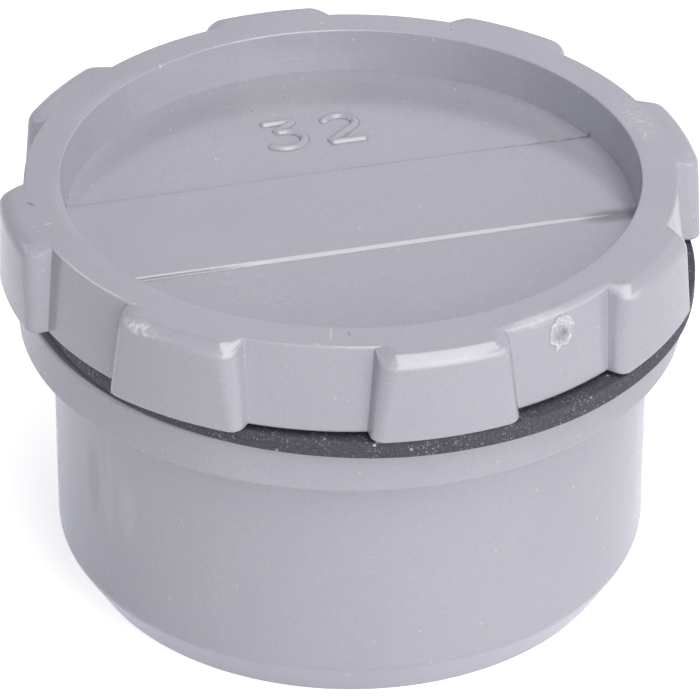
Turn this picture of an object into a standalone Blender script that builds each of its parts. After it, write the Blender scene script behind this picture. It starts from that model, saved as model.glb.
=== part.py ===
"""Screw cleanout plug for a 32 mm waste pipe.

Three pieces: a moulded spigot with a flange and a threaded socket, a flat rubber
gasket, and a hollow screw plug with a lugged head. Metres, +Z up. The origin is at
the centre of the spigot's lower end, and +X runs along the raised bar on the head.
"""

import math

import bmesh
import bpy

# Spigot and flange, one moulding
SPIGOT_DIAMETER = 0.0320
SPIGOT_LENGTH = 0.0148
SPIGOT_WALL = 0.0030
LEAD_IN_DEPTH = 0.0014
LEAD_IN_HEIGHT = 0.0023
FLANGE_REACH = 0.0018
FLANGE_THICKNESS = 0.0022
FLANGE_EDGE = 0.0002
BORE_EDGE = 0.0003

# Threaded socket in the top of the spigot, plain here at the root of its thread
SOCKET_WALL = 0.0015
SOCKET_SPARE_DEPTH = 0.0005
SOCKET_MOUTH = 0.0006

# Flat gasket, slipped to one side on the plug's neck
GASKET_THICKNESS = 0.0010
GASKET_INSET = 0.00015
GASKET_GRIP = 0.00015
GASKET_EDGE = 0.00015
GASKET_SIDE_GAP = 0.00015
GASKET_SLIP_ANGLE = math.radians(-56.0)
SEAT_GAP = 0.00015

# Hollow shank of the screw plug, plain here at the crest of its thread
THREAD_CLEARANCE = 0.0002
THREAD_DEPTH = 0.0013
THREAD_LENGTH = 0.0075
NECK_DEPTH = 0.0006
PLUG_WALL = 0.0016
TIP_CHAMFER = 0.0005
POCKET_FILLET = 0.0008

# Head of the screw plug
HEAD_HEIGHT = 0.0047
HEAD_OVERHANG = 0.00006
HEAD_EDGE = 0.0002
HEAD_UNDER_MARGIN = 0.0002
FLOOR_THICKNESS = 0.0018
RIM_WIDTH = 0.0019
RIM_EDGE = 0.00015
RECESS_DEPTH = 0.0024
RECESS_FILLET = 0.0002
BAR_WIDTH = 0.0080
BAR_HEIGHT = 0.00025

# Grip lugs round the head
LUG_COUNT = 8
LUG_WIDTH = 0.0079
LUG_REACH = 0.00094
LUG_DROP = 0.0002
LUG_CORNER = 0.00095
LUG_LEAST_CORNER = 0.0001
LUG_FOOT = 0.0001
LUG_TOP_EDGE = 0.0008

# Mould drafts
OUTER_DRAFT = math.radians(6.9)
RECESS_DRAFT = math.radians(6.0)
LUG_DRAFT = math.radians(1.8)

# Facets
ROUND_FACETS = 96
ARC_STEPS = 4
EDGE_STEPS = 3

# Sizes that follow from the ones above
spigot_radius = SPIGOT_DIAMETER / 2
bore_radius = spigot_radius - SPIGOT_WALL
flange_radius = spigot_radius + FLANGE_REACH
flange_top = SPIGOT_LENGTH + FLANGE_THICKNESS
socket_radius = spigot_radius - SOCKET_WALL
crest_radius = socket_radius - THREAD_CLEARANCE
neck_radius = crest_radius - THREAD_DEPTH
pocket_radius = neck_radius - PLUG_WALL
tip_height = flange_top - THREAD_LENGTH
gasket_bottom = flange_top + SEAT_GAP
gasket_top = gasket_bottom + GASKET_THICKNESS
lug_bottom = gasket_top + SEAT_GAP
head_bottom = lug_bottom + LUG_DROP
head_top = head_bottom + HEAD_HEIGHT
head_radius = flange_radius + HEAD_OVERHANG
recess_radius = head_radius - HEAD_HEIGHT * math.tan(OUTER_DRAFT) - RIM_WIDTH
recess_floor = head_top - RECESS_DEPTH
floor_radius = recess_radius - RECESS_DEPTH * math.tan(RECESS_DRAFT)


def clear_scene():
    for obj in list(bpy.data.objects):
        bpy.data.objects.remove(obj, do_unlink=True)


def plastic(name, colour, roughness):
    """A material with no metal in it."""
    material = bpy.data.materials.new(name)
    material.use_nodes = True
    shader = material.node_tree.nodes["Principled BSDF"]
    shader.inputs["Base Color"].default_value = (*colour, 1.0)
    shader.inputs["Roughness"].default_value = roughness
    shader.inputs["Metallic"].default_value = 0.0
    return material


def add_object(name, mesh, material, parent=None, location=(0.0, 0.0, 0.0)):
    """Puts a mesh in the scene, smooth shaded apart from its sharp edges."""
    mesh.materials.append(material)
    mesh.shade_smooth()
    mesh.set_sharp_from_angle(angle=math.radians(32))
    obj = bpy.data.objects.new(name, mesh)
    bpy.context.scene.collection.objects.link(obj)
    obj.parent = parent
    obj.location = location
    return obj


def skin(name, loops, closed_section=False):
    """A mesh through a stack of loops with as many points each.

    The loops run anticlockwise seen from above. A closed section joins the last loop
    to the first, as in a ring, and otherwise the first and last loops are capped.
    """
    bm = bmesh.new()
    rings = [[bm.verts.new(point) for point in loop] for loop in loops]
    pairs = list(zip(rings, rings[1:]))
    if closed_section:
        pairs.append((rings[-1], rings[0]))
    for lower, upper in pairs:
        for i in range(len(lower)):
            j = (i + 1) % len(lower)
            bm.faces.new((lower[i], lower[j], upper[j], upper[i]))
    if not closed_section:
        bm.faces.new(list(reversed(rings[0])))
        bm.faces.new(rings[-1])
    bmesh.ops.recalc_face_normals(bm, faces=bm.faces)
    mesh = bpy.data.meshes.new(name)
    bm.to_mesh(mesh)
    bm.free()
    return mesh


def circle(radius, height, count=ROUND_FACETS):
    """Points round the axis, the first at +X."""
    turns = [2 * math.pi * i / count for i in range(count)]
    return [(radius * math.cos(t), radius * math.sin(t), height) for t in turns]


def arc(centre, radius, start, end, steps=EDGE_STEPS):
    """Profile points (radius, height) on an arc, its angles in degrees from +X."""
    angles = [math.radians(start + (end - start) * i / steps) for i in range(steps + 1)]
    return [(centre[0] + radius * math.cos(a), centre[1] + radius * math.sin(a)) for a in angles]


def turned(name, profile, count=ROUND_FACETS):
    """A ring turned from a closed profile that runs up its outer side and down inside."""
    return skin(name, [circle(r, z, count) for r, z in profile], closed_section=True)


def spigot_body_mesh():
    """The tube with its lead-in chamfer, its drafted flange and the socket inside."""
    flange_top_radius = flange_radius - FLANGE_THICKNESS * math.tan(OUTER_DRAFT)
    socket_bottom = tip_height - SOCKET_SPARE_DEPTH
    profile = [
        (bore_radius + BORE_EDGE, 0.0),
        (spigot_radius - LEAD_IN_DEPTH, 0.0),
        (spigot_radius, LEAD_IN_HEIGHT),
        (spigot_radius, SPIGOT_LENGTH),
        (flange_radius, SPIGOT_LENGTH),
    ]
    profile += arc((flange_top_radius - FLANGE_EDGE, flange_top - FLANGE_EDGE), FLANGE_EDGE, 0, 90)
    profile += [
        (socket_radius + SOCKET_MOUTH, flange_top),
        (socket_radius, flange_top - SOCKET_MOUTH),
        (socket_radius, socket_bottom),
        (bore_radius, socket_bottom - (socket_radius - bore_radius)),
        (bore_radius, BORE_EDGE),
    ]
    return turned("spigot_body", profile)


def gasket_mesh():
    """A flat ring with slightly rounded edges, about its own centre and lower face."""
    inner = crest_radius - GASKET_GRIP
    outer = flange_radius - GASKET_INSET
    e = GASKET_EDGE
    profile = arc((outer - e, e), e, -90, 0, 2)
    profile += arc((outer - e, GASKET_THICKNESS - e), e, 0, 90, 2)
    profile += arc((inner + e, GASKET_THICKNESS - e), e, 90, 180, 2)
    profile += arc((inner + e, e), e, 180, 270, 2)
    return turned("gasket", profile)


def lug_outline(rim, tip, half_width, edge):
    """One lug and the stretch of rim after it, as (radius, angle, how far out on the lug).

    rim and tip are the radii of the skirt and of the lug's outer face. Round each
    corner runs an arc, and a small fillet joins each side to the skirt. An edge makes
    the corner tighter, as an offset outline has it, and leaves the fillet as it is.
    """
    corner = min(LUG_CORNER, 0.8 * (tip + edge - rim), half_width + edge) - edge
    corner = max(LUG_LEAST_CORNER, corner)
    foot = LUG_FOOT
    corner_y = half_width - corner
    corner_x = math.sqrt((tip - corner) ** 2 - corner_y ** 2)
    foot_y = half_width + foot
    foot_x = math.sqrt((rim + foot) ** 2 - foot_y ** 2)
    corner_turn = math.atan2(corner_y, corner_x)
    foot_turn = math.atan2(foot_y, foot_x)
    side = []
    for i in range(ARC_STEPS + 1):
        a = corner_turn + (math.pi / 2 - corner_turn) * i / ARC_STEPS
        side.append((corner_x + corner * math.cos(a), corner_y + corner * math.sin(a)))
    for i in range(EDGE_STEPS):
        a = -math.pi / 2 + (foot_turn - math.pi / 2) * (i / (EDGE_STEPS - 1))
        side.append((foot_x + foot * math.cos(a), foot_y + foot * math.sin(a)))
    side = [(math.hypot(x, y), math.atan2(y, x)) for x, y in side]
    front = [(tip, corner_turn * (2 * i / ARC_STEPS - 1)) for i in range(1, ARC_STEPS)]
    pitch = 2 * math.pi / LUG_COUNT
    gap = [
        (rim, foot_turn + (pitch - 2 * foot_turn) * i / ARC_STEPS) for i in range(1, ARC_STEPS)
    ]
    points = [(r, -a) for r, a in reversed(side)] + front + side + gap
    reach = tip - rim
    return [(r, a, min(1.0, max(0.0, (r - rim) / reach))) for r, a in points]


def head_loop(height_on_rim, height_on_lug, rim_inset=0.0, lug_inset=0.0):
    """A loop round the head, skirt and lugs, at the two heights, pulled in by the insets."""
    rise = height_on_rim - head_bottom
    rim = head_radius - rise * math.tan(OUTER_DRAFT) - rim_inset
    lug_rise = height_on_lug - lug_bottom
    tip = head_radius + LUG_REACH - lug_rise * math.tan(LUG_DRAFT) - lug_inset
    half_width = LUG_WIDTH / 2 - lug_rise * math.tan(OUTER_DRAFT) - lug_inset
    outline = lug_outline(rim, tip, half_width, lug_inset)
    loop = []
    for k in range(LUG_COUNT):
        turn = 2 * math.pi * k / LUG_COUNT
        for r, a, out in outline:
            z = height_on_rim + (height_on_lug - height_on_rim) * out
            loop.append((r * math.cos(a + turn), r * math.sin(a + turn), z))
    return loop


def head_outside_loops():
    """Loops up the outside of the head, from its under edge to the edge of its flat rim."""
    loops = []
    for i in range(EDGE_STEPS + 1):
        turn = math.pi / 2 * i / EDGE_STEPS
        inset = HEAD_EDGE * (1 - math.sin(turn))
        rise = HEAD_EDGE * (1 - math.cos(turn))
        loops.append(head_loop(head_bottom + rise, lug_bottom + rise, inset, inset))
    for i in range(EDGE_STEPS + 1):
        turn = math.pi / 2 * i / EDGE_STEPS
        drop = 1 - math.sin(turn)
        inset = 1 - math.cos(turn)
        loops.append(
            head_loop(
                head_top - RIM_EDGE * drop,
                head_top - LUG_TOP_EDGE * drop,
                RIM_EDGE * inset,
                LUG_TOP_EDGE * inset,
            )
        )
    return loops


def screw_plug_mesh():
    """The head with its lugs and recess, and the hollow shank under it."""
    outside = head_outside_loops()
    count = len(outside[0])
    first_turn = math.atan2(outside[0][0][1], outside[0][0][0])

    def ring(radius, height):
        turns = [first_turn + 2 * math.pi * i / count for i in range(count)]
        return [(radius * math.cos(t), radius * math.sin(t), height) for t in turns]

    neck_bottom = flange_top - NECK_DEPTH
    pocket_top = recess_floor - FLOOR_THICKNESS
    shank = arc((pocket_radius - POCKET_FILLET, pocket_top - POCKET_FILLET), POCKET_FILLET, 90, 0)
    shank += [
        (pocket_radius, tip_height),
        (crest_radius - TIP_CHAMFER, tip_height),
        (crest_radius, tip_height + TIP_CHAMFER),
        (crest_radius, neck_bottom - THREAD_DEPTH),
        (neck_radius, neck_bottom),
        (neck_radius, head_bottom),
        (head_radius - HEAD_EDGE - HEAD_UNDER_MARGIN, head_bottom),
    ]
    recess = arc((recess_radius + RIM_EDGE, head_top - RIM_EDGE), RIM_EDGE, 90, 180, 2)
    floor_edge = floor_radius + RECESS_FILLET * math.tan(RECESS_DRAFT)
    recess += arc(
        (floor_edge - RECESS_FILLET, recess_floor + RECESS_FILLET), RECESS_FILLET, 0, -90, 2
    )
    loops = [ring(r, z) for r, z in shank]
    loops += outside
    loops += [ring(r, z) for r, z in recess]
    return skin("screw_plug", loops)


def bar_mesh():
    """The raised bar, from wall to wall of the recess, reaching a little into both."""
    bite = RIM_WIDTH / 4
    loops = []
    for height in (recess_floor - bite, recess_floor + BAR_HEIGHT):
        half_width = BAR_WIDTH / 2 - (height - recess_floor) * math.tan(RECESS_DRAFT)
        radius = floor_radius + bite
        end = math.asin(half_width / radius)
        turns = [end * (2 * i / ARC_STEPS - 1) for i in range(ARC_STEPS + 1)]
        turns += [math.pi + turn for turn in turns]
        loops.append([(radius * math.cos(t), radius * math.sin(t), height) for t in turns])
    return skin("bar", loops)


def build():
    clear_scene()
    grey = (0.47, 0.47, 0.52)
    moulded_body = plastic("body PVC-U", grey, 0.42)
    moulded_plug = plastic("plug PVC-U", grey, 0.40)
    rubber = plastic("EPDM rubber", (0.06, 0.06, 0.065), 0.75)

    add_object("spigot_body", spigot_body_mesh(), moulded_body)

    lift = bpy.data.objects.new("lift", None)
    lift.location = (0.0, 0.0, gasket_bottom)
    bpy.context.scene.collection.objects.link(lift)

    slip = crest_radius - GASKET_GRIP - neck_radius - GASKET_SIDE_GAP
    slip_x = slip * math.cos(GASKET_SLIP_ANGLE)
    slip_y = slip * math.sin(GASKET_SLIP_ANGLE)
    add_object("gasket", gasket_mesh(), rubber, lift, (slip_x, slip_y, 0.0))

    plug = add_object("screw_plug", screw_plug_mesh(), moulded_plug, lift, (0.0, 0.0, -gasket_bottom))
    bar = add_object("bar_shape", bar_mesh(), moulded_plug, plug)
    bar.hide_render = True
    bar.display_type = "WIRE"
    join = plug.modifiers.new("raised bar", "BOOLEAN")
    join.operation = "UNION"
    join.solver = "EXACT"
    join.object = bar


build()
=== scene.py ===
import math
import random
from functools import partial

import bpy
from mathutils import Matrix, Vector


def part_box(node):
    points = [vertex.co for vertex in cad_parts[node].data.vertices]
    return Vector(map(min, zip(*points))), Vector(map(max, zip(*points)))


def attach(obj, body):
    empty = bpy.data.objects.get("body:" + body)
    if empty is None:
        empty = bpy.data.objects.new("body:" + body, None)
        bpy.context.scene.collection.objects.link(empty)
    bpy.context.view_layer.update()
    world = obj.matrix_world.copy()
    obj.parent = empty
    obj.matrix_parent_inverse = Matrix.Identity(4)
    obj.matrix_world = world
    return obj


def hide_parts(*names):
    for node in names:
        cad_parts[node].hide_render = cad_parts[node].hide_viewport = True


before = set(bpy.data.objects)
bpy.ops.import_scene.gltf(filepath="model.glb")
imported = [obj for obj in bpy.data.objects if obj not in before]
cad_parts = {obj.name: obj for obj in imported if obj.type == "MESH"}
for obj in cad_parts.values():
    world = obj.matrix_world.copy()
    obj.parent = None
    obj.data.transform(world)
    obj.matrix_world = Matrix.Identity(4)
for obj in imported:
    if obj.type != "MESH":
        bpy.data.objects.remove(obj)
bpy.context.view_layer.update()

# The spigot body is one injection moulding in light grey PVC-U: a short tube with a
# chamfered lower end that is glued into a 32 mm pipe socket, a flange that stops it there,
# and a screw thread inside its top for the plug.

MM = 0.001
axis_steps = 288
fillet_steps = 5
same_radius = 0.01 * MM

body_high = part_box("spigot_body")[1]
flange_radius = body_high[0]
flange_top = body_high[2]
spigot_radius = 16.0 * MM
flange_bottom = 14.8 * MM
bore_radius = 13.0 * MM
lead_in_radius = 14.6 * MM
lead_in_height = 2.3 * MM
outer_draft = math.radians(6.9)
bore_level = 0.35 * MM

socket_root = 14.5 * MM
socket_crest = 13.25 * MM
socket_bottom = 9.0 * MM
socket_mouth = 0.5 * MM
socket_phase = 0.5
thread_pitch = 3.0 * MM
thread_crest_half = 0.42 * MM
thread_root_half = 0.92 * MM
thread_fade = 0.9 * MM
thread_level = 0.1 * MM


def rounded(corners, closed=True):
    """Profile points through (radius, height, fillet) corners, each fillet as an arc."""
    points = []
    count = len(corners)
    for k, (r, z, fillet) in enumerate(corners):
        at_end = not closed and k in (0, count - 1)
        if at_end or fillet == 0:
            points.append((r, z))
            continue
        here = Vector((r, z))
        back = (Vector(corners[k - 1][:2]) - here).normalized()
        ahead = (Vector(corners[(k + 1) % count][:2]) - here).normalized()
        half = math.acos(max(-1.0, min(1.0, back.dot(ahead)))) / 2
        centre = here + (back + ahead).normalized() * fillet / math.sin(half)
        start = here + back * fillet / math.tan(half) - centre
        sweep = math.pi - 2 * half
        turning = 1 if start.cross(here - centre) > 0 else -1
        first = math.atan2(start.y, start.x)
        for i in range(fillet_steps + 1):
            a = first + turning * sweep * i / fillet_steps
            points.append((centre.x + fillet * math.cos(a), centre.y + fillet * math.sin(a)))
    return points


def split_upright(points, low, high, longest, closed=True):
    """The same profile with more points on its stretches between two heights."""
    result = []
    last = len(points) if closed else len(points) - 1
    for k in range(last):
        (r0, z0), (r1, z1) = points[k], points[(k + 1) % len(points)]
        result.append((r0, z0))
        if low <= min(z0, z1) and max(z0, z1) <= high and abs(z1 - z0) > longest:
            pieces = math.ceil(abs(z1 - z0) / longest)
            for i in range(1, pieces):
                t = i / pieces
                result.append((r0 + (r1 - r0) * t, z0 + (z1 - z0) * t))
    if not closed:
        result.append(points[-1])
    return result


def around(radius, height, turns, push=None):
    """A loop of points round the axis. push(turn, radius, height) moves each one outwards."""
    loop = []
    for turn in turns:
        r = radius + (push(turn, radius, height) if push else 0.0)
        loop.append((r * math.cos(turn), r * math.sin(turn), height))
    return loop


def skin(name, loops, ring=False):
    """A mesh through a stack of loops with as many points each.

    A ring joins its last loop to its first. Otherwise both ends are capped.
    """
    count = len(loops[0])
    points = [point for loop in loops for point in loop]
    faces = []
    stacks = len(loops) if ring else len(loops) - 1
    for k in range(stacks):
        lower = k * count
        upper = ((k + 1) % len(loops)) * count
        for i in range(count):
            j = (i + 1) % count
            faces.append((lower + i, lower + j, upper + j, upper + i))
    if not ring:
        faces.append(tuple(reversed(range(count))))
        faces.append(tuple(range(len(points) - count, len(points))))
    mesh = bpy.data.meshes.new(name)
    mesh.from_pydata(points, [], faces)
    mesh.validate()
    mesh.shade_smooth()
    mesh.set_sharp_from_angle(angle=math.radians(40))
    return mesh


def add_object(name, data):
    """A new object in the scene."""
    thing = bpy.data.objects.new(name, data)
    bpy.context.scene.collection.objects.link(thing)
    return thing


def place(name, mesh, material, body, node=None):
    """Puts a finished mesh on its body, in the finish of its slot."""
    mesh.materials.append(material)
    piece = add_object(name, mesh)
    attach(piece, body)
    if node:
        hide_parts(node)
    return piece


def flat_faces_stay_flat(piece):
    """Weights the shading by face size, so only the rounded edges shade as round."""
    weigh = piece.modifiers.new("face weights", "WEIGHTED_NORMAL")
    weigh.weight = 100
    weigh.keep_sharp = True


def smooth_step(t):
    """From 0 to 1 without a kink at either end, and held there beyond."""
    t = max(0.0, min(1.0, t))
    return t * t * (3 - 2 * t)


def thread_ridge(turn, height, phase, low, high):
    """From 0 in the groove to 1 on the crest of a right-hand thread between two heights."""
    along = height / thread_pitch - turn / (2 * math.pi) - phase
    offset = abs(along - round(along)) * thread_pitch
    rise = smooth_step((thread_root_half - offset) / (thread_root_half - thread_crest_half))
    fade_in = smooth_step((height - low) / thread_fade)
    fade_out = smooth_step((high - height) / thread_fade)
    return rise * fade_in * fade_out


# A shallow sink on the outside of the tube, left where the plastic froze first
sink_turn = -163.5
sink_height = 9.4 * MM
sink_half_width = 1.1 * MM
sink_half_height = 2.6 * MM
sink_depth = 0.035 * MM
sink_lean = 0.35


def body_push(turn, radius, height):
    """The socket's thread inside the tube, and the sink on its outside."""
    if abs(radius - socket_root) < same_radius and height > socket_bottom:
        ridge = thread_ridge(turn, height, socket_phase, socket_bottom, flange_top - 0.4 * MM)
        return (socket_crest - socket_root) * ridge
    if radius > socket_root and height < flange_bottom:
        off_sink = math.remainder(turn - math.radians(sink_turn), 2 * math.pi)
        up = (height - sink_height) / sink_half_height
        across = off_sink * radius / sink_half_width + sink_lean * up
        return -sink_depth * math.exp(-across * across - up * up)
    return 0.0


flange_top_radius = flange_radius - (flange_top - flange_bottom) * math.tan(outer_draft)
shoulder_bottom = socket_bottom - (socket_root - bore_radius)
body_profile = rounded([
    (bore_radius, 0.0, 0.3 * MM),
    (lead_in_radius, 0.0, 0.2 * MM),
    (spigot_radius, lead_in_height, 1.0 * MM),
    (spigot_radius, flange_bottom, 0.15 * MM),
    (flange_radius, flange_bottom, 0.1 * MM),
    (flange_top_radius, flange_top, 0.22 * MM),
    (socket_root + socket_mouth, flange_top, 0.1 * MM),
    (socket_root, flange_top - socket_mouth, 0.1 * MM),
    (socket_root, socket_bottom, 0.2 * MM),
    (bore_radius, shoulder_bottom, 0.2 * MM),
])
thread_start = socket_bottom - thread_level
body_profile = split_upright(body_profile, 0.0, thread_start, bore_level)
body_profile = split_upright(body_profile, thread_start, flange_top, thread_level)
turns = [2 * math.pi * i / axis_steps for i in range(axis_steps)]
body_loops = [around(r, z, turns, body_push) for r, z in body_profile]
body_mesh = skin("spigot_body_shell", body_loops, ring=True)


def linear(colour):
    """An sRGB hex colour as linear RGBA."""
    channels = [int(colour[i:i + 2], 16) / 255 for i in (1, 3, 5)]
    return (*[c / 12.92 if c <= 0.04045 else ((c + 0.055) / 1.055) ** 2.4 for c in channels], 1.0)


def per(millimetres):
    """The texture scale that gives one feature every so many millimetres."""
    return 1 / (millimetres * MM)


def add_node(tree, kind, sockets=None, **settings):
    """Adds a node, sets its options, and gives each socket a value or a link."""
    node = tree.nodes.new(kind)
    for name, value in settings.items():
        setattr(node, name, value)
    for name, value in (sockets or {}).items():
        if isinstance(value, bpy.types.NodeSocket):
            tree.links.new(value, node.inputs[name])
        else:
            node.inputs[name].default_value = value
    return node


def merged(tree, operation, *masks):
    """Several masks worked into one, from left to right."""
    result = masks[0]
    for mask in masks[1:]:
        result = add_node(tree, "ShaderNodeMath", {0: result, 1: mask}, operation=operation).outputs[0]
    return result


def times(tree, *masks):
    """Masks multiplied together."""
    return merged(tree, "MULTIPLY", *masks)


def most(tree, *masks):
    """The strongest of several masks at each point."""
    return merged(tree, "MAXIMUM", *masks)


def blots(tree, where, size, low, high, longer=None, ends=(0.0, 1.0), **cloud):
    """A mask of cloudy blots of that size in millimetres, from none at low to full at high.

    longer squeezes the coordinates along an axis, so that the blots grow longer there.
    """
    if longer:
        squeezed = add_node(tree, "ShaderNodeVectorMath", {0: where, 1: longer}, operation="MULTIPLY")
        where = squeezed.outputs[0]
    clouds = add_node(tree, "ShaderNodeTexNoise", {"Vector": where, "Scale": per(size), **cloud})
    return add_node(
        tree, "ShaderNodeMapRange",
        {"Value": clouds.outputs["Fac"], "From Min": low, "From Max": high,
         "To Min": ends[0], "To Max": ends[1]},
    ).outputs["Result"]


def specks(tree, where, spacing, radius, share):
    """A mask of scattered specks, some fainter than others, in a share of the cells."""
    cells = add_node(
        tree, "ShaderNodeTexVoronoi",
        {"Vector": where, "Scale": per(spacing), "Randomness": 1.0},
        feature="F1", voronoi_dimensions="3D",
    )
    size = radius / spacing
    near = add_node(
        tree, "ShaderNodeMapRange",
        {"Value": cells.outputs["Distance"], "From Min": size, "From Max": size * 0.4},
        interpolation_type="SMOOTHSTEP",
    )
    lot = add_node(tree, "ShaderNodeSeparateColor", {"Color": cells.outputs["Color"]})
    drawn = add_node(
        tree, "ShaderNodeMapRange",
        {"Value": lot.outputs["Red"], "From Min": 1 - share, "From Max": 1.0},
    )
    return times(tree, near.outputs["Result"], drawn.outputs["Result"])


def spot(tree, where, radius, turn, height, half_sizes, tilt=0.0):
    """A soft oval mask round a place, by its distance from the axis, its turn and its height.

    The half sizes, in millimetres, run outwards, sideways and up, and tilt swings them about
    the place. Both turns are in degrees.
    """
    a = math.radians(turn)
    centre = (radius * math.cos(a), radius * math.sin(a), height)
    offset = add_node(tree, "ShaderNodeVectorMath", {0: where, 1: centre}, operation="SUBTRACT")
    facing = add_node(
        tree, "ShaderNodeVectorRotate",
        {"Vector": offset.outputs[0], "Angle": -a - math.radians(tilt)}, rotation_type="Z_AXIS",
    )
    scaled = add_node(
        tree, "ShaderNodeVectorMath",
        {0: facing.outputs["Vector"], 1: [per(half) for half in half_sizes]}, operation="MULTIPLY",
    )
    off = add_node(tree, "ShaderNodeVectorMath", {0: scaled.outputs[0]}, operation="LENGTH")
    return add_node(
        tree, "ShaderNodeMapRange",
        {"Value": off.outputs["Value"], "From Min": 1.0, "From Max": 0.3},
        interpolation_type="SMOOTHSTEP",
    ).outputs["Result"]


def layered(tree, colour, *layers):
    """A colour with others laid over it in turn, each as (mask, strength, sRGB hex colour)."""
    for mask, strength, over in layers:
        mix = add_node(
            tree, "ShaderNodeMix",
            {0: times(tree, mask, strength), 6: colour, 7: linear(over)}, data_type="RGBA",
        )
        colour = mix.outputs[2]
    return colour


def relief(tree, *layers):
    """Bumps laid over each other, each as (mask, strength, depth in millimetres)."""
    surface = None
    for height, strength, depth in layers:
        sockets = {"Height": height, "Strength": strength, "Distance": depth * MM}
        if surface is not None:
            sockets["Normal"] = surface
        surface = add_node(tree, "ShaderNodeBump", sockets).outputs["Normal"]
    return surface


def new_finish(name, refraction):
    """A new material, with its node tree and its texture coordinates in metres."""
    material = bpy.data.materials.new(name)
    material.use_nodes = True
    tree = material.node_tree
    tree.nodes["Principled BSDF"].inputs["IOR"].default_value = refraction
    return material, tree, add_node(tree, "ShaderNodeTexCoord").outputs["Object"]


def give_surface(tree, colour, roughness, normal):
    """Links a material's colour, roughness and relief to its shader."""
    inputs = tree.nodes["Principled BSDF"].inputs
    tree.links.new(colour, inputs["Base Color"])
    tree.links.new(roughness, inputs["Roughness"])
    tree.links.new(normal, inputs["Normal"])


def moulded_pvc(name, dust_share, wear_and_painted_light):
    """Light grey PVC-U as it leaves a polished steel mould, handled and slightly dusty.

    It has a satin sheen and one even colour, clouded a little by the flow of the melt. A fine
    haze breaks up its reflections, and pale dust and a few dark specks of burnt resin sit in it.
    Its last argument gives masks for what is scratched, darkened, lightened and dulled on it.
    Besides dirt and whitening, the dark masks hold painted shade and the light ones painted
    highlights.
    """
    material, tree, where = new_finish(name, 1.8)
    scratched, darkened, lightened, dulled = wear_and_painted_light(tree, where)

    clouds = add_node(
        tree, "ShaderNodeTexNoise",
        {"Vector": where, "Scale": per(7.0), "Detail": 3.0, "Distortion": 0.6},
    ).outputs["Fac"]
    # The grain of the melt is some 0.05 mm, drawn three times as coarse so that it shows
    grain = add_node(
        tree, "ShaderNodeTexNoise", {"Vector": where, "Scale": per(0.15)}
    ).outputs["Fac"]
    grainy = add_node(
        tree, "ShaderNodeMapRange", {"Value": grain, "From Min": 0.35, "From Max": 0.7}
    ).outputs["Result"]
    burnt = specks(tree, where, 2.4, 0.11, 0.25)
    fine_dust = times(tree, specks(tree, where, 0.6, 0.09, dust_share), 0.6)
    dust = most(tree, specks(tree, where, 1.4, 0.17, dust_share), fine_dust)
    colour = layered(
        tree, linear("#A3A3AF"),
        (clouds, 1.0, "#ADADB8"),
        (grainy, 0.35, "#9898A5"),
        (darkened, 0.9, "#5C5C66"),
        # The dark layer holds dirt and painted shade, and the pale layer whitening and painted
        # highlights.
        (scratched, 0.3, "#CFCFD8"),
        (lightened, 1.0, "#D9D9DF"),
        (burnt, 1.0, "#6F6F7A"),
        (dust, 0.6, "#D8D8E0"),
    )

    gloss = blots(tree, where, 2.5, 0.3, 0.7, ends=(0.13, 0.23), Detail=4.0, Roughness=0.65)
    worn = times(tree, most(tree, scratched, lightened, dulled), 0.6)
    rough = add_node(tree, "ShaderNodeMix", {0: worn, 2: gloss, 3: 0.5}).outputs[0]
    rough = add_node(tree, "ShaderNodeMix", {0: dust, 2: rough, 3: 0.8}).outputs[0]

    # The mould's polish leaves an orange peel of about 1.5 mm, only microns deep
    peel = add_node(tree, "ShaderNodeTexNoise", {"Vector": where, "Scale": per(1.5)}).outputs["Fac"]
    surface = relief(
        tree, (peel, 0.2, 0.02), (grain, 0.3, 0.003), (dust, 0.6, 0.03), (scratched, 0.4, 0.006)
    )
    give_surface(tree, colour, rough, surface)
    return material


def flow_lines_and_painted_sink_shading(tree, where):
    """Fine curved lines beside the sink, where two fronts of melt met and froze, with the sink's
    shading painted on: painted shade over it and a painted highlight beside it.
    """
    near = partial(spot, tree, where, spigot_radius)
    # Painted shade over the sink; the pale mark a little further round is a painted highlight.
    painted_sink_shade = near(sink_turn, sink_height, (3.0, 0.95, 3.1))
    beside = near(sink_turn + 5, sink_height, (3.0, 1.5, 4.0))
    pale = near(sink_turn + 11, sink_height - 0.6 * MM, (3.0, 0.9, 2.6))
    flow = blots(tree, where, 0.7, 0.48, 0.66, longer=(1.0, 1.0, 0.13), Distortion=1.0)
    lines = times(tree, flow, beside, 0.5)
    return lines, times(tree, painted_sink_shade, 0.3), times(tree, pale, 0.12), 0.0


body_pvc = moulded_pvc("moulded PVC-U, spigot", 0.12, flow_lines_and_painted_sink_shading)
spigot_piece = place("spigot_body_shell", body_mesh, body_pvc, "spigot", "spigot_body")
flat_faces_stay_flat(spigot_piece)

# The gasket is a flat ring stamped from black EPDM sheet rubber. It lies loose on the plug's
# neck, between the flange and the head, and has slipped to one side. It is matt, and its
# tacky surface has caught pale dust.

gasket_low, gasket_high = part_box("gasket")
gasket_outer = (gasket_high[0] - gasket_low[0]) / 2 - 0.05 * MM
gasket_inner = 14.15 * MM
gasket_centre = ((gasket_low[0] + gasket_high[0]) / 2, (gasket_low[1] + gasket_high[1]) / 2)
gasket_edge = 0.1 * MM
gasket_top = gasket_high[2]
gasket_bottom = gasket_low[2]


def gasket_push(turn, radius, height):
    """The outer edge is stamped, and never quite round."""
    if radius < (gasket_inner + gasket_outer) / 2:
        return 0.0
    return (0.03 * math.sin(3 * turn + 0.6) + 0.015 * math.sin(11 * turn + 2.0)) * MM


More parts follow.
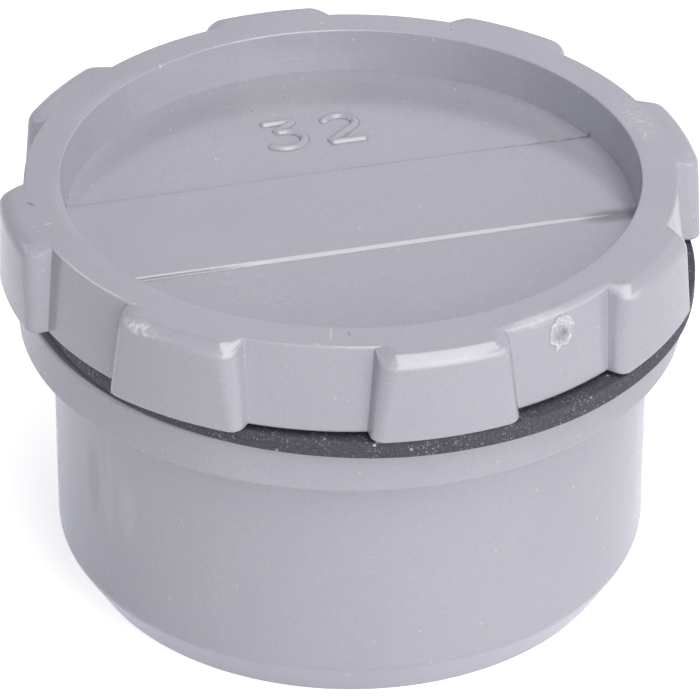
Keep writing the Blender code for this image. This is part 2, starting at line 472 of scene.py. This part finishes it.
gasket_profile = rounded([
    (gasket_outer, gasket_bottom, gasket_edge),
    (gasket_outer, gasket_top, gasket_edge),
    (gasket_inner, gasket_top, gasket_edge),
    (gasket_inner, gasket_bottom, gasket_edge),
])
gasket_loops = []
for r, z in gasket_profile:
    loop = around(r, z, turns, gasket_push)
    gasket_loops.append([(x + gasket_centre[0], y + gasket_centre[1], z) for x, y, z in loop])
gasket_mesh = skin("gasket_ring", gasket_loops, ring=True)


def dusty_epdm(name):
    """Stamped black EPDM rubber with a grey bloom, speckled by dust of many sizes."""
    material, tree, where = new_finish(name, 1.5)
    bloom = add_node(
        tree, "ShaderNodeTexNoise",
        {"Vector": where, "Scale": per(1.8), "Detail": 4.0, "Roughness": 0.6},
    ).outputs["Fac"]
    # Dust grains of 0.02 to 0.1 mm, the finest drawn three times as coarse so that they show
    powder = add_node(
        tree, "ShaderNodeTexNoise", {"Vector": where, "Scale": per(0.10), "Roughness": 0.6}
    ).outputs["Fac"]
    powdery = add_node(
        tree, "ShaderNodeMapRange", {"Value": powder, "From Min": 0.45, "From Max": 0.78}
    ).outputs["Result"]
    gathered = blots(tree, where, 1.5, 0.48, 0.62, ends=(0.18, 1.0), Detail=3.0, Roughness=0.6)
    coarse = times(tree, specks(tree, where, 0.46, 0.115, 0.6), gathered)
    colour = layered(
        tree, linear("#2E2E36"),
        (bloom, 1.0, "#42424C"),
        (powdery, 0.4, "#7C7C88"),
        (specks(tree, where, 0.15, 0.07, 0.8), gathered, "#9E9EA9"),
        (coarse, 1.0, "#D8D8E0"),
    )
    rough = add_node(
        tree, "ShaderNodeMapRange",
        {"Value": bloom, "From Min": 0.3, "From Max": 0.7, "To Min": 0.62, "To Max": 0.82},
    ).outputs["Result"]
    give_surface(tree, colour, rough, relief(tree, (powder, 0.5, 0.02), (coarse, 0.7, 0.04)))
    return material


epdm = dusty_epdm("stamped EPDM rubber")
gasket_piece = place("gasket_ring", gasket_mesh, epdm, "gasket", "gasket")
flat_faces_stay_flat(gasket_piece)

# The screw plug is one moulding in the same grey PVC-U: a flat head with a shallow recess and
# eight drafted grip lugs, over a hollow shank with a coarse right-hand thread. It is screwed
# into the spigot by hand, down onto the gasket.

plug_low, plug_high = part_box("screw_plug")
head_top = plug_high[2]
tip_height = plug_low[2]
thread_crest = 14.3 * MM
neck_radius = 13.0 * MM
pocket_radius = 11.4 * MM
lug_bottom = gasket_top + 0.15 * MM
head_bottom = lug_bottom + 0.1 * MM
head_radius = flange_radius + 0.06 * MM
head_edge = 0.2 * MM
rim_edge = 0.12 * MM
worn_edge = 0.36 * MM
worn_turn = math.radians(-68)
worn_reach = math.radians(16)
worn_fade = math.radians(9)
rim_width = 1.9 * MM
recess_depth = 2.4 * MM
recess_draft = math.radians(6.0)
recess_floor = head_top - recess_depth
recess_radius = head_radius - (head_top - head_bottom) * math.tan(outer_draft) - rim_width
rim_outer = recess_radius + rim_width - 0.04 * MM
floor_radius = recess_radius - recess_depth * math.tan(recess_draft)

lug_count = 8
lug_width = 7.9 * MM
lug_tip = plug_high[0]
lug_corner = 0.95 * MM
smallest_corner = 0.05 * MM
lug_foot = 0.035 * MM
lug_top_edge = 0.8 * MM
lug_under_edge = 0.2 * MM
lug_draft = math.radians(1.8)
lug_arc_steps = 8
edge_steps = 7


def lug_outline(rim, tip, half_width, inset):
    """One lug and the stretch of rim after it, as (radius, turn, how far out on the lug)."""
    corner = max(smallest_corner, min(lug_corner, 0.8 * (tip + inset - rim)) - inset)
    corner_y = half_width - corner
    corner_x = math.sqrt((tip - corner) ** 2 - corner_y ** 2)
    foot_y = half_width + lug_foot
    foot_x = math.sqrt((rim + lug_foot) ** 2 - foot_y ** 2)
    corner_turn = math.atan2(corner_y, corner_x)
    foot_turn = math.atan2(foot_y, foot_x)
    side = []
    for i in range(lug_arc_steps + 1):
        a = corner_turn + (math.pi / 2 - corner_turn) * i / lug_arc_steps
        side.append((corner_x + corner * math.cos(a), corner_y + corner * math.sin(a)))
    for i in range(edge_steps):
        a = -math.pi / 2 + (foot_turn - math.pi / 2) * i / (edge_steps - 1)
        side.append((foot_x + lug_foot * math.cos(a), foot_y + lug_foot * math.sin(a)))
    side = [(math.hypot(x, y), math.atan2(y, x)) for x, y in side]
    front = [(tip, corner_turn * (2 * i / lug_arc_steps - 1)) for i in range(1, lug_arc_steps)]
    gap_turn = 2 * math.pi / lug_count - 2 * foot_turn
    gap = [(rim, foot_turn + gap_turn * i / lug_arc_steps) for i in range(1, lug_arc_steps)]
    points = [(r, -a) for r, a in reversed(side)] + front + side + gap
    return [(r, a, smooth_step((r - rim) / (tip - rim))) for r, a in points]


def wear_at(turn):
    """How dull the rim's outer edge is: fully so beside the gate, where it was trimmed."""
    off = abs(math.remainder(turn - worn_turn, 2 * math.pi))
    return smooth_step((worn_reach - off) / worn_fade)


def head_loop(rim_height, lug_height, rim_inset, lug_inset):
    """A loop round skirt and lugs at the two heights, pulled in by the two insets."""
    rim = head_radius - (rim_height - head_bottom) * math.tan(outer_draft) - rim_inset
    rise = lug_height - lug_bottom
    tip = lug_tip - rise * math.tan(lug_draft) - lug_inset
    half_width = lug_width / 2 - rise * math.tan(outer_draft) - lug_inset
    outline = lug_outline(rim, tip, half_width, lug_inset)
    loop = []
    for k in range(lug_count):
        for r, a, out in outline:
            turn = a + 2 * math.pi * k / lug_count
            z = rim_height + (lug_height - rim_height) * out
            loop.append((r * math.cos(turn), r * math.sin(turn), z))
    return loop


outside_loops = []
for i in range(edge_steps + 1):
    turn = math.pi / 2 * i / edge_steps
    pull = 1 - math.sin(turn)
    rise = 1 - math.cos(turn)
    outside_loops.append(head_loop(
        head_bottom + head_edge * rise, lug_bottom + lug_under_edge * rise,
        head_edge * pull, lug_under_edge * pull,
    ))
for i in range(edge_steps + 1):
    turn = math.pi / 2 * i / edge_steps
    drop = 1 - math.sin(turn)
    pull = 1 - math.cos(turn)
    crisp_loop, dull_loop = [
        head_loop(
            head_top - edge * drop, head_top - lug_top_edge * drop, edge * pull, lug_top_edge * pull
        )
        for edge in (rim_edge, worn_edge)
    ]
    outside_loops.append([
        Vector(crisp).lerp(Vector(dull), wear_at(math.atan2(crisp[1], crisp[0])))
        for crisp, dull in zip(crisp_loop, dull_loop)
    ])

# Every other loop of the plug has its points at the same turns as the lugged outline
plug_turns = [math.atan2(y, x) for x, y, z in outside_loops[-1]]
thread_top = flange_top - 0.9 * MM
pocket_top = recess_floor - 1.8 * MM


def plug_push(turn, radius, height):
    """The thread's groove, cut in from its crest."""
    if abs(radius - thread_crest) > same_radius:
        return 0.0
    ridge = thread_ridge(turn, height, 0.0, tip_height - 0.3 * MM, thread_top + 0.3 * MM)
    return (neck_radius - thread_crest) * (1 - ridge)


shank_profile = rounded([
    (0.5 * MM, pocket_top, 0.0),
    (pocket_radius, pocket_top, 0.8 * MM),
    (pocket_radius, tip_height, 0.3 * MM),
    (neck_radius - 0.1 * MM, tip_height, 0.2 * MM),
    (thread_crest, tip_height + 0.5 * MM, 0.0),
    (thread_crest, thread_top, 0.0),
    (neck_radius, thread_top + 0.2 * MM, 0.1 * MM),
    (neck_radius, head_bottom, 0.3 * MM),
    (head_radius - 0.6 * MM, head_bottom, 0.0),
], closed=False)
shank_profile = split_upright(
    shank_profile, tip_height + 0.45 * MM, thread_top + 0.01 * MM, thread_level, closed=False
)
recess_profile = rounded([
    (recess_radius + 0.6 * MM, head_top, 0.0),
    (recess_radius, head_top, 0.08 * MM),
    (floor_radius, recess_floor, 0.0),
    (floor_radius - 1.5 * MM, recess_floor, 0.0),
    (floor_radius - 6.0 * MM, recess_floor, 0.0),
    (1.0 * MM, recess_floor, 0.0),
], closed=False)
plug_loops = [around(r, z, plug_turns, plug_push) for r, z in shank_profile]
plug_loops += outside_loops
plug_loops += [around(r, z, plug_turns) for r, z in recess_profile]
plug_mesh = skin("screw_plug_shell", plug_loops)

bar_half = 4.0 * MM
bar_height = 0.17 * MM
floor_reach = bar_height + 0.13 * MM
mask_fade = 0.05 * MM
floor_marks = recess_floor + 0.1 * MM
rub_turn = math.radians(58)


def from_axis(tree, where):
    """How far a place is from the plug's axis."""
    level = add_node(
        tree, "ShaderNodeVectorMath", {0: where, 1: (1.0, 1.0, 0.0)}, operation="MULTIPLY"
    )
    reach = add_node(tree, "ShaderNodeVectorMath", {0: level.outputs[0]}, operation="LENGTH")
    return reach.outputs["Value"]


def close_to(tree, value, level, none, full):
    """A mask round a level, from none at one distance above or below it to full at another."""
    off = add_node(tree, "ShaderNodeMath", {0: value, 1: level}, operation="SUBTRACT").outputs[0]
    distance = add_node(tree, "ShaderNodeMath", {0: off}, operation="ABSOLUTE").outputs[0]
    return add_node(
        tree, "ShaderNodeMapRange", {"Value": distance, "From Min": none, "From Max": full}
    ).outputs["Result"]


def recess_masks(tree, where):
    """Masks of the recess's floor, with what stands on it, and of its wall."""
    reach = from_axis(tree, where)
    inside = add_node(
        tree, "ShaderNodeMapRange",
        {"Value": reach, "From Min": recess_radius + mask_fade,
         "From Max": recess_radius - mask_fade},
    ).outputs["Result"]
    height = add_node(tree, "ShaderNodeSeparateXYZ", {"Vector": where}).outputs["Z"]
    low = close_to(tree, height, recess_floor, floor_reach + mask_fade, floor_reach - mask_fade)
    past_floor = add_node(
        tree, "ShaderNodeMapRange",
        {"Value": reach, "From Min": floor_radius - mask_fade,
         "From Max": floor_radius + mask_fade},
    ).outputs["Result"]
    return times(tree, low, inside), times(tree, past_floor, inside)


def rub_marks(tree, where, on_floor, on_wall):
    """What other fittings in the bin rubbed into the floor, and the mould's lines on the wall.

    The floor has a fine grain all over, and patches of half-millimetre marks that all run one
    way. The wall keeps the lines of the mould's turning.
    """
    near = partial(spot, tree, where)
    along = add_node(
        tree, "ShaderNodeVectorRotate", {"Vector": where, "Angle": rub_turn}, rotation_type="Z_AXIS"
    ).outputs["Vector"]
    fine = blots(tree, along, 0.12, 0.45, 0.8, longer=(0.35, 1.0, 1.0), Detail=1.0)
    marks = blots(
        tree, along, 0.13, 0.48, 0.72, longer=(0.2, 1.0, 1.0), Detail=1.0, Roughness=0.6
    )
    patches = blots(tree, where, 2.2, 0.36, 0.52, Detail=1.0)
    most_rubbed = most(
        tree,
        near(9.2 * MM, -139.0, floor_marks, (2.4, 5.4, 3.0)),
        near(10.2 * MM, 131.0, floor_marks, (2.6, 5.0, 3.0)),
        near(9.6 * MM, 62.0, floor_marks, (2.6, 3.2, 3.0)),
        0.12,
    )
    marks = times(tree, marks, patches, most_rubbed)
    rubbed = most(tree, marks, times(tree, fine, 0.25))

    lines = blots(tree, where, 0.22, 0.5, 0.75, longer=(0.06, 0.06, 1.0), Roughness=0.7)
    uneven = blots(tree, where, 4.0, 0.35, 0.6)
    lines = times(tree, lines, uneven, 0.5)
    return most(tree, times(tree, rubbed, on_floor), times(tree, lines, on_wall))


def dirt_and_painted_shade(tree, where, on_floor):
    """Thin dirt on the floor, a dark line along the bar's rear foot that is partly dirt and partly
    painted shade, painted shade where the bar's front meets the wall at its low end, and two dark
    dashes on the rim.
    """
    near = partial(spot, tree, where)
    film = blots(tree, where, 0.5, 0.62, 0.8, Detail=3.0)
    across = add_node(tree, "ShaderNodeSeparateXYZ", {"Vector": where}).outputs["Y"]
    # Darker along the bar's rear foot: partly dirt, partly painted shade on the step that is turned
    # from the lamps.
    rear_foot_dirt_and_shade = close_to(tree, across, bar_half + 0.1 * MM, 0.2 * MM, 0.06 * MM)
    uneven = blots(tree, where, 0.6, 0.25, 0.65, Detail=3.0)
    # Two dark dashes on the rim top.
    dark_dashes = most(
        tree,
        near(17.1 * MM, 176.2, head_top, (0.14, 0.38, 0.3), tilt=35.0),
        near(16.0 * MM, -105.8, head_top, (0.34, 0.07, 0.3), tilt=12.0),
    )
    return most(
        tree,
        times(tree, film, on_floor, 0.15),
        times(tree, rear_foot_dirt_and_shade, uneven, on_floor, 0.8),
        # Painted shade in the corner where the bar's front foot meets the wall, at the bar's low end.
        near(14.1 * MM, -17.2, floor_marks, (2.4, 0.85, 1.2), tilt=17.2),
        times(tree, dark_dashes, 0.7),
    )


def scuffs_and_painted_highlights(tree, where):
    """Whitened plastic on one lug's scuffed corner and on the rubbed rim with its nicks, and painted
    highlights on two stretches of the rim's outer edge.
    """
    near = partial(spot, tree, where)
    broken = blots(tree, where, 0.28, 0.42, 0.6, Detail=3.0, Roughness=0.7)
    cloudy = blots(tree, where, 0.5, 0.2, 0.7)
    by_edge = close_to(tree, from_axis(tree, where), rim_outer, 0.09 * MM, 0.03 * MM)
    height = add_node(tree, "ShaderNodeSeparateXYZ", {"Vector": where}).outputs["Z"]
    by_top = add_node(
        tree, "ShaderNodeMapRange",
        {"Value": height, "From Min": head_top - 0.08 * MM, "From Max": head_top - 0.03 * MM},
    ).outputs["Result"]
    # A painted highlight along one stretch of the rim's outer edge.
    painted_edge_highlight = near(17.3 * MM, -156.5, head_top, (1.6, 4.6, 0.6))
    nicks = most(
        tree,
        near(16.1 * MM, -109.0, head_top, (0.85, 0.09, 0.3), tilt=4.0),
        near(17.1 * MM, -111.1, head_top - 0.05 * MM, (0.12, 0.28, 0.3), tilt=-30.0),
        near(16.66 * MM, -176.4, head_top, (0.36, 0.11, 0.3)),
        near(16.5 * MM, 3.6, head_top, (0.16, 0.5, 0.3), tilt=25.0),
        near(16.2 * MM, -1.5, head_top, (0.12, 0.6, 0.3), tilt=-20.0),
    )
    return most(
        tree,
        times(tree, near(18.44 * MM, -140.6, head_top - 0.35 * MM, (0.9, 1.25, 0.42)), broken, 0.9),
        # A pale painted highlight on the rim's outer edge beside the gate.
        times(tree, near(17.15 * MM, -72.0, head_top - 0.25 * MM, (0.8, 2.4, 0.4)), cloudy, 0.4),
        times(tree, near(16.4 * MM, 4.0, head_top, (1.2, 3.6, 0.4)), broken, 0.3),
        times(tree, by_edge, by_top, painted_edge_highlight, 0.6),
        times(tree, nicks, 0.5),
    )


def plug_wear_and_painted_light(tree, where):
    """Rub marks in the recess, dirt and painted shade there and dark dashes on the rim, scuffs and
    painted highlights on the rim, and a duller rim beside the gate.
    """
    on_floor, on_wall = recess_masks(tree, where)
    scratched = rub_marks(tree, where, on_floor, on_wall)
    dulled = spot(tree, where, 17.2 * MM, -66.0, head_top - 0.1 * MM, (1.2, 6.0, 0.8))
    return scratched, dirt_and_painted_shade(tree, where, on_floor), scuffs_and_painted_highlights(tree, where), dulled


plug_pvc = moulded_pvc("moulded PVC-U, plug", 0.20, plug_wear_and_painted_light)
plug_piece = place("screw_plug_shell", plug_mesh, plug_pvc, "plug", "screw_plug")
flat_faces_stay_flat(plug_piece)

# The raised bar crosses the recess from wall to wall and is part of the same moulding. Its
# top is flat and sinks towards one end. Its long sides are steep at the high end and slant
# more at the low end, with small fillets at the edge and at the foot.

bar_edge = 0.12 * MM
bar_fillet = 0.06 * MM
bar_sink = 0.25
bar_end_drop = 0.62
bar_steep = 0.02 * MM
bar_slant = 0.11 * MM
bar_hem = 0.5 * MM
bar_root = 0.4 * MM
bar_reach = floor_radius + 0.15 * MM
bar_stations = 60
bar_top_steps = 16


def bar_section(share):
    """The bar's outline across its length, from -1 at one end to 1 at the other.

    Past the foot a hem runs on just under the floor, and the root goes down into it.
    """
    end_drop = bar_end_drop * smooth_step((share - 0.6) / 0.35)
    top = bar_height * (1 - bar_sink * share - end_drop)
    slant = bar_steep + bar_slant * smooth_step((share + 0.8) / 0.7)
    across = [bar_half * (1 - 2 * k / bar_top_steps) for k in range(1, bar_top_steps)]
    return rounded([
        (bar_half + bar_hem, -0.02 * MM, 0.0),
        (bar_half + slant, -0.01 * MM, bar_fillet),
        (bar_half - 0.01 * MM, top, bar_edge),
        *[(y, top, 0.0) for y in across],
        (-bar_half + 0.01 * MM, top, bar_edge),
        (-bar_half - slant, -0.01 * MM, bar_fillet),
        (-bar_half - bar_hem, -0.02 * MM, 0.0),
        (-bar_half - bar_hem, -bar_root, 0.0),
        (bar_half + bar_hem, -bar_root, 0.0),
    ])


bar_loops = []
for i in range(bar_stations + 1):
    share = 2 * i / bar_stations - 1
    section = bar_section(share)
    bar_loops.append([
        (share * math.sqrt(bar_reach ** 2 - y ** 2), y, recess_floor + z) for y, z in section
    ])
bar_piece = place("raised_bar", skin("raised_bar", bar_loops), plug_pvc, "plug")
flat_faces_stay_flat(bar_piece)

# The size number stands on the recess floor behind the bar, cut into the mould with a small
# cutter, so it comes out as low beads with rounded shoulders. It is the pipe's nominal size in
# millimetres.

bead_radius = 0.23 * MM
bead_height = 0.18 * MM
bead_sides = 24
bead_fullness = 0.8
bead_flare = 0.3
bead_sunk = 0.4
digit_height = 2.75 * MM
digit_width = 2.05 * MM
digit_foot = 7.18 * MM
three_left = -2.45 * MM
two_left = 0.85 * MM
stroke_steps = 24
bow_steps = 36


def full(value):
    """A sine or cosine drawn outwards, so that a circle grows squarer."""
    return math.copysign(abs(value) ** bead_fullness, value)


def bead(path):
    """Loops along a half-sunk bead with round ends, through the points of a path."""
    steps = [Vector(p) for p in path]
    lengths = [0.0]
    for a, b in zip(steps, steps[1:]):
        lengths.append(lengths[-1] + (b - a).length)
    loops = []
    for k, here in enumerate(steps):
        ahead = steps[min(k + 1, len(steps) - 1)] - steps[max(k - 1, 0)]
        along = ahead.normalized()
        side = Vector((-along.y, along.x))
        from_end = min(lengths[k], lengths[-1] - lengths[k])
        closeness = max(0.0, 1 - from_end / bead_radius)
        narrowed = math.sqrt(max(0.02, 1 - closeness ** 2))
        loop = []
        for i in range(bead_sides):
            a = 2 * math.pi * i / bead_sides
            out, up = full(math.cos(a)), full(math.sin(a))
            spread = side * bead_radius * narrowed * out * (1 + bead_flare * (1 - abs(up)) ** 4)
            rise = up if up > 0 else bead_sunk * up
            height = recess_floor + bead_height * narrowed * rise
            loop.append((here.x + spread.x, here.y + spread.y, height))
        loops.append(loop)
    return loops


def straight(a, b):
    """Points along a straight stroke."""
    shares = [i / stroke_steps for i in range(stroke_steps + 1)]
    return [(a[0] + (b[0] - a[0]) * t, a[1] + (b[1] - a[1]) * t) for t in shares]


def bowed(centre, half_width, half_height, start, end):
    """Points on an oval arc, its angles in degrees."""
    angles = [math.radians(start + (end - start) * i / bow_steps) for i in range(bow_steps + 1)]
    x, y = centre
    return [(x + half_width * math.cos(a), y + half_height * math.sin(a)) for a in angles]


def digit_three(left):
    """A flat-topped three: top stroke, slanting stroke and bowl."""
    right = left + digit_width * 0.95
    top = digit_foot + digit_height
    bowl_height = digit_height * 0.32
    bowl_centre = (left + digit_width * 0.47, digit_foot + bowl_height)
    bowl = bowed(bowl_centre, digit_width * 0.52, bowl_height, 112, -158)
    return [straight((left, top), (right, top)), straight((right, top), bowl[0]), bowl]


def digit_two(left):
    """A two with a round head, a slanting stroke and a flat foot."""
    right = left + digit_width * 1.04
    head_half = digit_height * 0.29
    head_centre = (left + digit_width * 0.47, digit_foot + digit_height * 0.98 - head_half)
    head = bowed(head_centre, digit_width * 0.43, head_half, 165, -30)
    foot = (left - digit_width * 0.03, digit_foot)
    return [head + straight(head[-1], foot)[1:], straight(foot, (right, digit_foot))]


def joined(name, parts):
    """One smooth mesh from several, which it uses up."""
    points = []
    faces = []
    for part in parts:
        start = len(points)
        points += [vertex.co[:] for vertex in part.vertices]
        faces += [tuple(start + i for i in face.vertices) for face in part.polygons]
        bpy.data.meshes.remove(part)
    mesh = bpy.data.meshes.new(name)
    mesh.from_pydata(points, [], faces)
    mesh.shade_smooth()
    return mesh


number_strokes = digit_three(three_left) + digit_two(two_left)
number_mesh = joined("size_number", [skin("stroke", bead(stroke)) for stroke in number_strokes])
place("size_number", number_mesh, plug_pvc, "plug")

# The gate scar is where the runner was broken off the skirt by hand. It is a torn ring of
# stress-whitened plastic with a ragged lip round a shallow, rough middle.

random.seed(32)
scar_turn = math.radians(-67.5)
scar_height = 22.0 * MM
scar_lip = 0.77 * MM
scar_lean = math.radians(60)
scar_reach = 1.25
scar_back = 0.3 * MM
tail_turn = math.radians(186)
tail_spread = 0.14
tail_length = 0.28 * MM
scar_rings = 26
scar_spokes = 96


def wobble(low, high, size):
    """A closed, seeded wave with a few bumps round a circle."""
    waves = [
        (n, random.uniform(0, 2 * math.pi), random.uniform(0.4, 1.0)) for n in range(low, high)
    ]
    total = sum(weight for n, phase, weight in waves)
    return lambda a: size * sum(w * math.sin(n * a + phase) for n, phase, w in waves) / total


def hump(x, middle, spread):
    """A bell curve, 1 at its middle."""
    return math.exp(-((x - middle) / spread) ** 2)


lip_ragged = wobble(4, 12, 0.10 * MM)
lip_uneven = wobble(3, 10, 0.9)
crumbs = wobble(7, 19, 1.0)
skirt_radius = head_radius - (scar_height - head_bottom) * math.tan(outer_draft)
outwards = Vector((math.cos(scar_turn), math.sin(scar_turn), math.tan(outer_draft))).normalized()
sideways = Vector((-math.sin(scar_turn), math.cos(scar_turn), 0.0))
upwards = outwards.cross(sideways)
scar_centre = Vector((
    skirt_radius * math.cos(scar_turn), skirt_radius * math.sin(scar_turn), scar_height,
))


def scar_point(a, share):
    """A point of the scar, how pale it is drawn, and how much painted shade darkens it.

    It lies at an angle round the scar's middle, at a share of the way out to the lip. The lip
    is highest and whitest in a patch at one corner, and a torn tail hangs from the other.
    """
    from_corner = math.remainder(a - scar_lean, 2 * math.pi)
    from_tail = math.remainder(a - scar_lean - tail_turn, 2 * math.pi)
    by_tail = hump(from_tail, 0.0, tail_spread)
    low_side = hump(from_corner, math.pi, 1.5) + hump(from_corner, -math.pi, 1.5)
    lip = scar_lip + 0.04 * MM * math.cos(2 * from_corner) + lip_ragged(a)
    reach = share * lip + tail_length * by_tail * smooth_step((share - 0.8) / 0.45)
    across, up = reach * math.cos(a), reach * math.sin(a)

    ring = hump(share, 0.97, 0.09 + 0.10 * low_side) * max(0.3, 0.8 + lip_uneven(a))
    inner_fade = smooth_step((share - 0.28) / 0.2)
    patch = hump(from_corner, -0.1, 1.35) * inner_fade * (share < 1.05)
    spur = by_tail * (share > 0.9)
    rough = 0.5 + 0.5 * crumbs(a + 5 * share)
    lift = 0.10 * MM * max(ring, 0.75 * patch, 0.6 * spur) + 0.03 * MM * rough * (share < 0.9)
    sag = -0.12 * MM * smooth_step((share - 1.12) / 0.13)
    curve = -across ** 2 / (2 * skirt_radius)
    point = scar_centre + sideways * across + upwards * up
    point += outwards * (curve + lift + sag + 0.01 * MM)

    lightened = max(ring, patch * (0.55 + 0.45 * rough), spur)
    # Painted shadow on the skirt just outside the lip's high corner, and painted shade for a dimple
    # and a hollow in the middle that the mesh does not sink.
    shade = hump(share, 1.13, 0.07) * hump(from_corner, 0.9, 0.9) * (0.6 + 0.4 * rough)
    dimple = hump(math.hypot(across - 0.15 * MM, up + 0.14 * MM), 0.0, 0.20 * MM)
    hollow = hump(math.hypot(across + 0.24 * MM, up + 0.32 * MM), 0.0, 0.24 * MM)
    darkened = max(shade, min(1.0, dimple + 0.5 * hollow))
    return point, lightened, darkened


spoke_turns = [2 * math.pi * i / scar_spokes for i in range(scar_spokes)]
scar_rows = [
    [scar_point(a, scar_reach * (1 - k / scar_rings)) for a in spoke_turns] for k in range(scar_rings)
]
back_row = [(point - outwards * scar_back, 0.0, 0.0) for point, lightened, darkened in scar_rows[0]]
scar_rows.insert(0, back_row)
scar_mesh = skin("gate_scar", [[point for point, lightened, darkened in row] for row in scar_rows])
for name, column in (("lightened", 1), ("darkened", 2)):
    values = [entry[column] for row in scar_rows for entry in row]
    scar_mesh.attributes.new(name, "FLOAT", "POINT").data.foreach_set("value", values)


def torn_pvc(name):
    """The same PVC-U where it was torn: pale with stress-whitening along the lip, darkened by painted
    shade in places, and rough all over.
    """
    material, tree, where = new_finish(name, 1.54)
    crumbled = blots(tree, where, 0.16, 0.42, 0.58, Detail=3.0, Roughness=0.75)
    chalky = add_node(
        tree, "ShaderNodeMapRange", {"Value": crumbled, "To Min": 0.5}
    ).outputs["Result"]
    white = add_node(tree, "ShaderNodeAttribute", attribute_name="lightened").outputs["Fac"]
    dark = add_node(tree, "ShaderNodeAttribute", attribute_name="darkened").outputs["Fac"]
    colour = layered(
        tree, linear("#A0A0A9"),
        (crumbled, 1.0, "#BDBDC6"),
        # The darkened attribute is painted shade.
        (dark, 0.8, "#72727C"),
        (white, chalky, "#DCDCE3"),
    )
    rough = blots(tree, where, 0.22, 0.3, 0.7, ends=(0.35, 0.6), Detail=4.0, Roughness=0.7)
    give_surface(tree, colour, rough, relief(tree, (crumbled, 0.7, 0.03)))
    return material


place("gate_scar", scar_mesh, torn_pvc("torn PVC-U"), "plug")

# The stage is a plain white sweep that the fitting stands on, under soft studio lamps. The
# camera looks down on it at the photograph's angle, through a long lens.

camera_turn = math.radians(-15.5)
camera_pitch = math.radians(32.584)
camera_roll = math.radians(0.178)
camera_place = Vector((-62.62, -225.70, 161.7)) * MM

lens = bpy.data.cameras.new("camera")
lens.lens = 264.6
lens.sensor_width = 36.0
lens.clip_start = 0.01
camera = add_object("camera", lens)
camera.matrix_world = (
    Matrix.Translation(camera_place)
    @ Matrix.Rotation(camera_turn, 4, "Z")
    @ Matrix.Rotation(math.pi / 2 - camera_pitch, 4, "X")
    @ Matrix.Rotation(camera_roll, 4, "Z")
)
bpy.context.scene.camera = camera


def white_where_seen(tree, in_view, in_reflections):
    """Brightness of the white surroundings for the camera and for reflections, and 0 otherwise."""
    path = add_node(tree, "ShaderNodeLightPath").outputs
    through = most(tree, path["Is Glossy Ray"], path["Is Transmission Ray"])
    return add_node(
        tree, "ShaderNodeMath",
        {0: path["Is Camera Ray"], 1: in_view, 2: times(tree, through, in_reflections)},
        operation="MULTIPLY_ADD",
    ).outputs[0]


def room_colour(tree):
    """White for the camera, and the faint blue of the room for everything else."""
    in_view = add_node(tree, "ShaderNodeLightPath").outputs["Is Camera Ray"]
    return layered(tree, linear("#EDEEFF"), (in_view, 1.0, "#FFFFFF"))


def white_sweep():
    """White paper that also glows a little, so that it shows as pure white."""
    material = bpy.data.materials.new("white sweep")
    material.use_nodes = True
    tree = material.node_tree
    tree.nodes.remove(tree.nodes["Principled BSDF"])
    paper = add_node(tree, "ShaderNodeBsdfDiffuse", {"Color": linear("#E6E6E8")})
    glow = add_node(
        tree, "ShaderNodeEmission",
        {"Color": room_colour(tree), "Strength": white_where_seen(tree, 0.70, 0.62)},
    )
    surface = add_node(tree, "ShaderNodeAddShader", {0: paper.outputs[0], 1: glow.outputs[0]})
    tree.links.new(surface.outputs[0], tree.nodes["Material Output"].inputs["Surface"])
    return material


floor_half = 3.0
floor_corners = [(-1, -1), (1, -1), (1, 1), (-1, 1)]
floor_mesh = bpy.data.meshes.new("floor")
floor_mesh.from_pydata(
    [(x * floor_half, y * floor_half, 0.0) for x, y in floor_corners], [], [(0, 1, 2, 3)]
)
floor_mesh.materials.append(white_sweep())
floor = add_object("floor", floor_mesh)

world = bpy.data.worlds.new("studio")
bpy.context.scene.world = world
world.use_nodes = True
world_tree = world.node_tree
backdrop = world_tree.nodes["Background"]
world_tree.links.new(room_colour(world_tree), backdrop.inputs["Color"])
world_tree.links.new(white_where_seen(world_tree, 1.0, 1.02), backdrop.inputs["Strength"])


def softbox(name, turn, height, distance, width, length, power, roll=0.0, colour="#FFFFFF"):
    """A rectangular lamp aimed at the fitting, by its compass turn and height in degrees."""
    data = bpy.data.lights.new(name, "AREA")
    data.shape = "RECTANGLE"
    data.size = width
    data.size_y = length
    data.energy = power
    data.color = linear(colour)[:3]
    lamp = add_object(name, data)
    a, h = math.radians(turn), math.radians(height)
    away = Vector((math.cos(h) * math.cos(a), math.cos(h) * math.sin(a), math.sin(h)))
    target = Vector((0.0, 0.0, 12.0 * MM))
    lamp.matrix_world = (
        Matrix.Translation(target + away * distance)
        @ away.to_track_quat("Z", "Y").to_matrix().to_4x4()
        @ Matrix.Rotation(math.radians(roll), 4, "Z")
    )


warm_white = "#FFFCF7"
soft_white = "#FFFDFA"
cool_white = "#F0F2FF"
softbox(
    "overhead softbox", turn=-64, height=65, distance=0.6, width=0.38, length=1.1, power=3.8,
    roll=-25, colour=warm_white,
)
softbox(
    "right fill", turn=-58, height=14, distance=0.7, width=1.5, length=0.4, power=3.15,
    colour=soft_white,
)
softbox("front fill", turn=-105, height=12, distance=0.7, width=1.5, length=0.4, power=1.75)
softbox("front left softbox", turn=-125, height=48, distance=0.7, width=0.4, length=0.4, power=0.25)
softbox(
    "back panel", turn=54, height=33, distance=0.8, width=0.6, length=0.45, power=0.34,
    colour=cool_white,
)
softbox(
    "left panel", turn=180, height=25, distance=0.7, width=0.5, length=0.4, power=0.26,
    colour=cool_white,
)
softbox(
    "left rear panel", turn=145, height=28, distance=0.7, width=0.35, length=0.35, power=0.36,
    colour=cool_white,
)

bpy.context.scene.view_settings.view_transform = "Standard"
